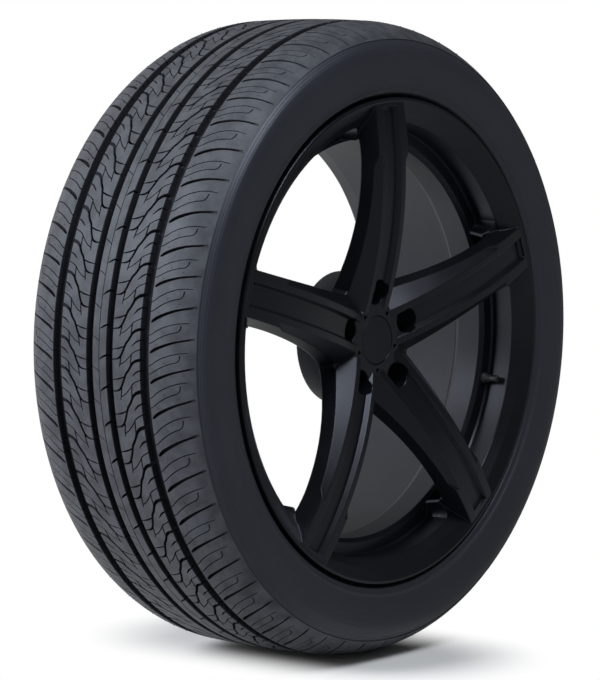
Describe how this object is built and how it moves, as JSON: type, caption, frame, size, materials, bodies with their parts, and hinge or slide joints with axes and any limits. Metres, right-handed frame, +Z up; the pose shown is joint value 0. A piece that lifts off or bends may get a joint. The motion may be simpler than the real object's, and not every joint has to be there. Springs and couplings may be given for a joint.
{
  "type": "mounted car tyre",
  "caption": "Low-profile radial road tyre with a grooved all-season tread, mounted on a satin black multi-spoke alloy wheel with centre cap and valve.",
  "frame": {"origin": "centre of the wheel, on the axle line in the tyre's middle plane", "axes": "+Y along the axle towards the vehicle, so the outer face looks towards -Y; +Z up; +X to the right seen from outside"},
  "size_m": [0.6596, 0.2291, 0.6596],
  "materials": {
    "tyre_rubber": "matt black rubber, charcoal on the tread",
    "wheel_paint": "satin black coat over cast alloy",
    "cap_plastic": "satin black",
    "spring_wire": "bright wire",
    "valve_rubber": "black rubber",
    "valve_brass": "plain brass",
    "valve_plastic": "black"
  },
  "bodies": {
    "root": {"tyre": "tyre_rubber", "wheel": "wheel_paint", "centre_cap": "cap_plastic", "cap_spring": "spring_wire", "valve_stem": "valve_rubber", "valve_insert": "valve_brass", "valve_core": "valve_brass", "valve_cap": "valve_plastic"}
  },
  "joints": []
}
